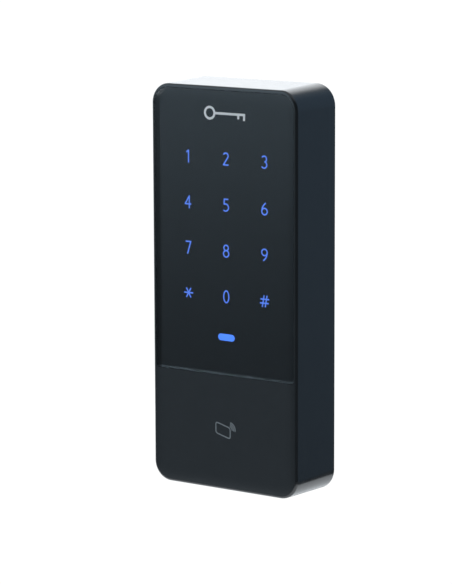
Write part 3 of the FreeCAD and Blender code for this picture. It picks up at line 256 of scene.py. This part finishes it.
def light_guide():
    """Frosted acrylic light guide."""
    surface = Surface("light_guide", (0.85, 0.9, 0.95), 0.3, Transmission_Weight=0.7, IOR=GUIDE_IOR)
    surface.tint(surface.noise(2 * MM), (0.78, 0.84, 0.9))
    surface.gloss(surface.noise(0.3 * MM), 0.22, 0.4)
    return surface.bump(surface.noise(0.1 * MM), 0.002 * MM)


def finishes():
    """One surface for each material slot of the record."""
    return {
        "housing_black": housing_black(),
        "panel_clear": panel_clear(),
        "panel_ink": panel_ink(),
        "adhesive_tape": adhesive_tape(),
        "legend_blue": lit_window("legend_blue", (0.085, 0.21, 0.87), LEGEND_GLOW),
        "status_blue": lit_window("status_blue", (0.065, 0.23, 1.0), STATUS_GLOW),
        # The badge is unlit white print: its glow is painted light that stands in for the studio light
        # falling on it.
        "badge_print": lit_window("badge_print", (0.66, 0.68, 0.7), BADGE_PAINTED_GLOW),
        "symbol_print": printed("symbol_print", (0.2, 0.215, 0.22), (0.15, 0.16, 0.17), 0.5),
        "diffuser_film": milky_film(),
        "board_green": circuit_board(
            "board_green", (0.012, 0.085, 0.035), (0.02, 0.15, 0.06), (0.6, 0.45, 0.2)
        ),
        "board_black": circuit_board(
            "board_black", (0.012, 0.013, 0.015), (0.022, 0.024, 0.026), (0.5, 0.4, 0.2)
        ),
        "copper": metal("copper", (0.72, 0.36, 0.2), (0.55, 0.26, 0.14), 0.2, 0.38),
        "frame_white": moulded_plastic("frame_white", (0.78, 0.79, 0.78), (0.72, 0.73, 0.71), 0.35, 0.5),
        "light_guide": light_guide(),
        "led_package": stone_like("led_package", (0.82, 0.8, 0.66), (0.72, 0.66, 0.42), 0.3, 0.5, 0.4 * MM),
        "header_ivory": moulded_plastic("header_ivory", (0.74, 0.69, 0.56), (0.68, 0.62, 0.48), 0.4, 0.55),
        "header_black": moulded_plastic(
            "header_black", (0.016, 0.016, 0.016), (0.024, 0.024, 0.024), 0.38, 0.5
        ),
        "chip_black": stone_like("chip_black", (0.02, 0.02, 0.022), (0.034, 0.034, 0.036), 0.45, 0.65),
        "crystal_can": metal("crystal_can", (0.68, 0.68, 0.66), (0.56, 0.56, 0.54), 0.2, 0.34, (1, 1, 0.1)),
        "capacitor_can": metal(
            "capacitor_can", (0.78, 0.79, 0.8), (0.66, 0.67, 0.69), 0.18, 0.3, (1, 0.1, 1)
        ),
        "inductor_grey": stone_like("inductor_grey", (0.07, 0.07, 0.075), (0.12, 0.12, 0.125), 0.5, 0.7),
        "chip_ceramic": stone_like("chip_ceramic", (0.42, 0.33, 0.23), (0.52, 0.43, 0.32), 0.35, 0.55),
        "buzzer_black": moulded_plastic(
            "buzzer_black", (0.014, 0.014, 0.014), (0.022, 0.022, 0.022), 0.3, 0.45
        ),
        "ferrite_grey": stone_like("ferrite_grey", (0.045, 0.045, 0.05), (0.075, 0.075, 0.08), 0.6, 0.8),
        "seal_rubber": rubber("seal_rubber", (0.03, 0.03, 0.032), (0.06, 0.06, 0.062)),
        "cover_black": moulded_plastic(
            "cover_black", (0.015, 0.016, 0.018), (0.024, 0.025, 0.027), 0.42, 0.58, 0.5 * MM, 0.01 * MM
        ),
        "gland_rubber": rubber("gland_rubber", (0.018, 0.018, 0.018), (0.04, 0.04, 0.04)),
        "vent_white": membrane(),
        "switch_black": moulded_plastic("switch_black", (0.02, 0.02, 0.02), (0.03, 0.03, 0.03), 0.35, 0.5),
        "button_red": moulded_plastic("button_red", (0.42, 0.03, 0.022), (0.34, 0.022, 0.018), 0.35, 0.5),
        "spring_steel": metal("spring_steel", (0.6, 0.6, 0.6), (0.46, 0.46, 0.47), 0.2, 0.32),
        "plunger_grey": moulded_plastic("plunger_grey", (0.13, 0.135, 0.14), (0.17, 0.175, 0.18), 0.32, 0.45),
        "bracket_steel": metal(
            "bracket_steel", (0.56, 0.57, 0.58), (0.44, 0.45, 0.46), 0.26, 0.42, (0.04, 1, 1), 0.004 * MM
        ),
        "zinc_plate": spangled("zinc_plate", (0.62, 0.63, 0.65), (0.48, 0.5, 0.54), 0.25, 0.4),
        "screw_black": metal("screw_black", (0.06, 0.06, 0.065), (0.11, 0.11, 0.115), 0.3, 0.45),
    }


def dress(frame):
    """Gives every CAD node the surface of its material slot."""
    surfaces = finishes()
    for part in frame["record"]["subparts"]:
        mesh = frame["nodes"][part["node"]].data
        mesh.materials.clear()
        mesh.materials.append(surfaces[part["material_slot"]].material)


def direction(azimuth, elevation):
    """The unit vector that points that way from the object."""
    turn, lift = math.radians(azimuth), math.radians(elevation)
    return Vector((math.sin(turn) * math.cos(lift), -math.cos(turn) * math.cos(lift), math.sin(lift)))


def light_studio():
    """A plain white backdrop for the camera, and a dim studio with soft lights for everything else."""
    world = bpy.data.worlds.new("studio")
    bpy.context.scene.world = world
    world.use_nodes = True
    nodes, links = world.node_tree.nodes, world.node_tree.links
    ray = nodes.new("ShaderNodeTexCoord").outputs["Generated"]
    studio = nodes["Background"]
    studio.inputs["Color"].default_value = (*STUDIO_TINT, 1.0)
    studio.inputs["Strength"].default_value = STUDIO_LEVEL
    lights = studio.outputs[0]
    for azimuth, elevation, inner, outer, strength, colour in SOFT_LIGHTS:
        facing = nodes.new("ShaderNodeVectorMath")
        facing.operation = "DOT_PRODUCT"
        links.new(ray, facing.inputs[0])
        facing.inputs[1].default_value = direction(azimuth, elevation)
        soft = nodes.new("ShaderNodeMapRange")
        soft.interpolation_type = "SMOOTHSTEP"
        links.new(facing.outputs["Value"], soft.inputs["Value"])
        soft.inputs["From Min"].default_value = math.cos(math.radians(outer))
        soft.inputs["From Max"].default_value = math.cos(math.radians(inner))
        soft.inputs["To Max"].default_value = strength
        glow = nodes.new("ShaderNodeBackground")
        glow.inputs["Color"].default_value = (*colour, 1.0)
        links.new(soft.outputs["Result"], glow.inputs["Strength"])
        total = nodes.new("ShaderNodeAddShader")
        links.new(lights, total.inputs[0])
        links.new(glow.outputs[0], total.inputs[1])
        lights = total.outputs[0]
    backdrop = nodes.new("ShaderNodeBackground")
    backdrop.inputs["Color"].default_value = (1.0, 1.0, 1.0, 1.0)
    backdrop.inputs["Strength"].default_value = BACKGROUND_LEVEL
    seen = nodes.new("ShaderNodeLightPath").outputs["Is Camera Ray"]
    either = nodes.new("ShaderNodeMixShader")
    links.new(seen, either.inputs["Fac"])
    links.new(lights, either.inputs[1])
    links.new(backdrop.outputs[0], either.inputs[2])
    links.new(either.outputs[0], nodes["World Output"].inputs["Surface"])


def lay_floor(floor_z):
    """A pale matt disc well below the reader."""
    bpy.ops.mesh.primitive_circle_add(
        vertices=FLOOR_SIDES, radius=FLOOR_RADIUS, fill_type="NGON", location=(0, 0, floor_z)
    )
    floor = bpy.context.object
    floor.name = "floor"
    glow = {"Emission_Color": (1, 1, 1, 1), "Emission_Strength": FLOOR_GLOW}
    surface = Surface("floor_pale", (0.86, 0.86, 0.86), 0.9, **glow)
    surface.tint(surface.noise(60 * MM, 4.0), (0.84, 0.84, 0.845))
    surface.gloss(surface.noise(20 * MM), 0.85, 0.95)
    floor.data.materials.append(surface.material)


def place_camera():
    """The camera, aimed a little to one side of the object's middle and rolled slightly."""
    back = direction(CAMERA_AZIMUTH, CAMERA_ELEVATION)
    right = (-back).cross(Vector((0, 0, 1))).normalized()
    up = right.cross(-back)
    roll = math.radians(CAMERA_ROLL)
    rolled_right = math.cos(roll) * right + math.sin(roll) * up
    rolled_up = math.cos(roll) * up - math.sin(roll) * right
    data = bpy.data.cameras.new("camera")
    data.lens = CAMERA_LENS
    camera = bpy.data.objects.new("camera", data)
    bpy.context.scene.collection.objects.link(camera)
    spot = CAMERA_SIDE * right + CAMERA_RISE * up + CAMERA_DISTANCE * back
    turn = Matrix((rolled_right, rolled_up, back)).transposed().to_4x4()
    camera.matrix_world = Matrix.Translation(spot) @ turn
    bpy.context.scene.camera = camera


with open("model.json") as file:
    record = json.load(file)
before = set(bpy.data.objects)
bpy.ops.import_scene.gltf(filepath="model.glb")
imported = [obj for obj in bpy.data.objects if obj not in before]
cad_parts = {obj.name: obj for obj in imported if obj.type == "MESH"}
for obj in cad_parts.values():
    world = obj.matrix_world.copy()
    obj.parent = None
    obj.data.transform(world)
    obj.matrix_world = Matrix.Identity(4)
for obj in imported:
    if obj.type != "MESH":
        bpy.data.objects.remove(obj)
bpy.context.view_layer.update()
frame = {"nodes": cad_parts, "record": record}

place_camera()
light_studio()
lay_floor(-FLOOR_DROP)
dress(frame)
bpy.context.scene.view_settings.view_transform = "Standard"
